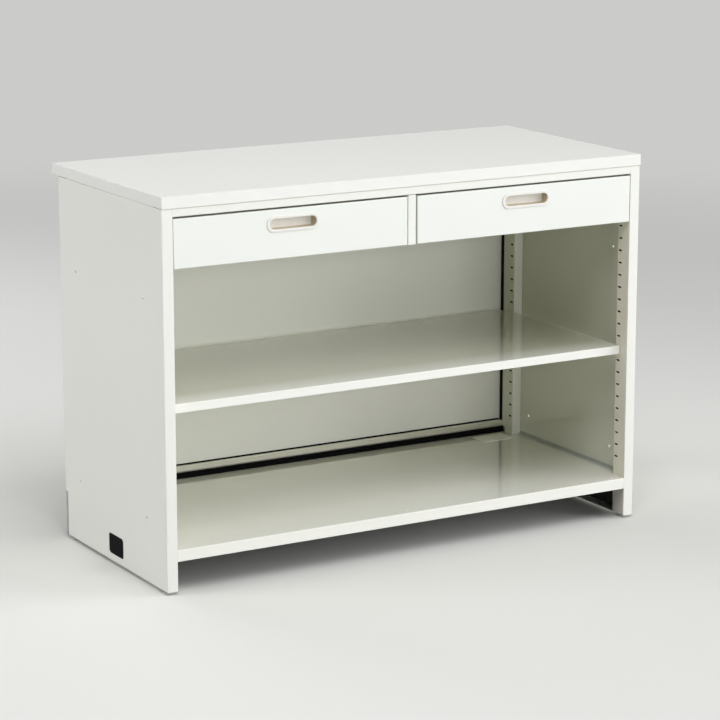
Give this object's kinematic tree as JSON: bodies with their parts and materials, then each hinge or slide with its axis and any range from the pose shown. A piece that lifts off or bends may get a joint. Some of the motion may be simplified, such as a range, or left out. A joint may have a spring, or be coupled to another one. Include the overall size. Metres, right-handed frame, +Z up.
{
  "type": "steel counter with drawers",
  "caption": "White folded-steel shop counter with a laminate top, drawers over an open shelved staff side, slotted posts, a closed customer face, grey kick plate and levelling feet.",
  "frame": {"origin": "on the floor, under the middle of the top board's outline", "axes": "+X along the counter's length, -Y towards the staff side with the drawers, +Z up"},
  "size_m": [1.2, 0.55, 0.85],
  "materials": {
    "white_paint": "semi-gloss warm white powder coat",
    "grey_paint": "satin mid-grey paint",
    "laminate": "white melamine laminate on particle board",
    "edge_band": "white plastic edge band",
    "beige_plastic": "moulded beige plastic",
    "nylon": "white nylon",
    "zinc": "zinc-plated steel",
    "foam": "black foam seal strip"
  },
  "bodies": {
    "carcass": {"top_board": "laminate", "top_edge_band": "edge_band", "left_front_top_screw": "zinc", "left_rear_top_screw": "zinc", "right_front_top_screw": "zinc", "right_rear_top_screw": "zinc", "left_side_panel": "white_paint", "right_side_panel": "white_paint", "left_front_post": "white_paint", "left_rear_post": "white_paint", "right_front_post": "white_paint", "right_rear_post": "white_paint", "front_top_rail": "white_paint", "rear_top_rail": "white_paint", "centre_divider": "white_paint", "bottom_shelf": "white_paint", "bottom_shelf_rib": "white_paint", "left_front_shelf_clip": "zinc", "left_rear_shelf_clip": "zinc", "right_front_shelf_clip": "zinc", "right_rear_shelf_clip": "zinc", "rear_fascia": "white_paint", "fascia_bottom_rail": "white_paint", "kick_plate": "grey_paint", "rear_seal_bottom": "foam", "rear_seal_left": "foam", "rear_seal_right": "foam", "left_front_foot_nut": "zinc", "left_rear_foot_nut": "zinc", "right_front_foot_nut": "zinc", "right_rear_foot_nut": "zinc", "left_drawer_left_rail": "zinc", "left_drawer_right_rail": "zinc", "right_drawer_left_rail": "zinc", "right_drawer_right_rail": "zinc"},
    "left_drawer": {"left_drawer_front": "white_paint", "left_drawer_handle": "beige_plastic", "left_drawer_box": "white_paint", "left_drawer_left_runner": "zinc", "left_drawer_right_runner": "zinc"},
    "right_drawer": {"right_drawer_front": "white_paint", "right_drawer_handle": "beige_plastic", "right_drawer_box": "white_paint", "right_drawer_left_runner": "zinc", "right_drawer_right_runner": "zinc"},
    "loose_shelf": {"mid_shelf": "white_paint", "mid_shelf_rib": "white_paint"},
    "left_drawer_left_front_roller": {"left_drawer_left_front_roller": "nylon"},
    "left_drawer_right_front_roller": {"left_drawer_right_front_roller": "nylon"},
    "left_drawer_left_rear_roller": {"left_drawer_left_rear_roller": "nylon"},
    "left_drawer_right_rear_roller": {"left_drawer_right_rear_roller": "nylon"},
    "right_drawer_left_front_roller": {"right_drawer_left_front_roller": "nylon"},
    "right_drawer_right_front_roller": {"right_drawer_right_front_roller": "nylon"},
    "right_drawer_left_rear_roller": {"right_drawer_left_rear_roller": "nylon"},
    "right_drawer_right_rear_roller": {"right_drawer_right_rear_roller": "nylon"},
    "left_front_foot": {"left_front_foot": "nylon"},
    "left_rear_foot": {"left_rear_foot": "nylon"},
    "right_front_foot": {"right_front_foot": "nylon"},
    "right_rear_foot": {"right_rear_foot": "nylon"}
  },
  "joints": [
    {"name": "left_drawer_slide", "type": "slide", "parent": "carcass", "child": "left_drawer", "axis": [0, -1, 0], "range_m": [0, 0.34]},
    {"name": "right_drawer_slide", "type": "slide", "parent": "carcass", "child": "right_drawer", "axis": [0, -1, 0], "range_m": [0, 0.34]},
    {"name": "mid_shelf_lift", "type": "slide", "parent": "carcass", "child": "loose_shelf", "axis": [0, 0, 1], "range_m": [0, 0.28]},
    {"name": "left_drawer_left_front_roller_spin", "type": "hinge", "parent": "carcass", "child": "left_drawer_left_front_roller", "pos_m": [-0.5691, -0.241, 0.7142], "axis": [1, 0, 0], "continuous": true},
    {"name": "left_drawer_right_front_roller_spin", "type": "hinge", "parent": "carcass", "child": "left_drawer_right_front_roller", "pos_m": [-0.0172, -0.241, 0.7142], "axis": [1, 0, 0], "continuous": true},
    {"name": "left_drawer_left_rear_roller_spin", "type": "hinge", "parent": "left_drawer", "child": "left_drawer_left_rear_roller", "pos_m": [-0.5691, 0.1333, 0.7142], "axis": [1, 0, 0], "continuous": true},
    {"name": "left_drawer_right_rear_roller_spin", "type": "hinge", "parent": "left_drawer", "child": "left_drawer_right_rear_roller", "pos_m": [-0.0172, 0.1333, 0.7142], "axis": [1, 0, 0], "continuous": true},
    {"name": "right_drawer_left_front_roller_spin", "type": "hinge", "parent": "carcass", "child": "right_drawer_left_front_roller", "pos_m": [0.0146, -0.241, 0.7142], "axis": [1, 0, 0], "continuous": true},
    {"name": "right_drawer_right_front_roller_spin", "type": "hinge", "parent": "carcass", "child": "right_drawer_right_front_roller", "pos_m": [0.5691, -0.241, 0.7142], "axis": [1, 0, 0], "continuous": true},
    {"name": "right_drawer_left_rear_roller_spin", "type": "hinge", "parent": "right_drawer", "child": "right_drawer_left_rear_roller", "pos_m": [0.0146, 0.1333, 0.7142], "axis": [1, 0, 0], "continuous": true},
    {"name": "right_drawer_right_rear_roller_spin", "type": "hinge", "parent": "right_drawer", "child": "right_drawer_right_rear_roller", "pos_m": [0.5691, 0.1333, 0.7142], "axis": [1, 0, 0], "continuous": true},
    {"name": "left_front_foot_turn", "type": "hinge", "parent": "carcass", "child": "left_front_foot", "pos_m": [-0.5875, -0.2505, 0], "axis": [0, 0, 1], "continuous": true},
    {"name": "left_rear_foot_turn", "type": "hinge", "parent": "carcass", "child": "left_rear_foot", "pos_m": [-0.5875, 0.2145, 0], "axis": [0, 0, 1], "continuous": true},
    {"name": "right_front_foot_turn", "type": "hinge", "parent": "carcass", "child": "right_front_foot", "pos_m": [0.5875, -0.2505, 0], "axis": [0, 0, 1], "continuous": true},
    {"name": "right_rear_foot_turn", "type": "hinge", "parent": "carcass", "child": "right_rear_foot", "pos_m": [0.5875, 0.2145, 0], "axis": [0, 0, 1], "continuous": true}
  ],
  "couplings": [
    {"joint": "left_drawer_left_front_roller_spin", "follows": "left_drawer_slide", "rad_per_m": 111.11},
    {"joint": "left_drawer_right_front_roller_spin", "follows": "left_drawer_slide", "rad_per_m": 111.11},
    {"joint": "left_drawer_left_rear_roller_spin", "follows": "left_drawer_slide", "rad_per_m": 111.11},
    {"joint": "left_drawer_right_rear_roller_spin", "follows": "left_drawer_slide", "rad_per_m": 111.11},
    {"joint": "right_drawer_left_front_roller_spin", "follows": "right_drawer_slide", "rad_per_m": 111.11},
    {"joint": "right_drawer_right_front_roller_spin", "follows": "right_drawer_slide", "rad_per_m": 111.11},
    {"joint": "right_drawer_left_rear_roller_spin", "follows": "right_drawer_slide", "rad_per_m": 111.11},
    {"joint": "right_drawer_right_rear_roller_spin", "follows": "right_drawer_slide", "rad_per_m": 111.11}
  ]
}
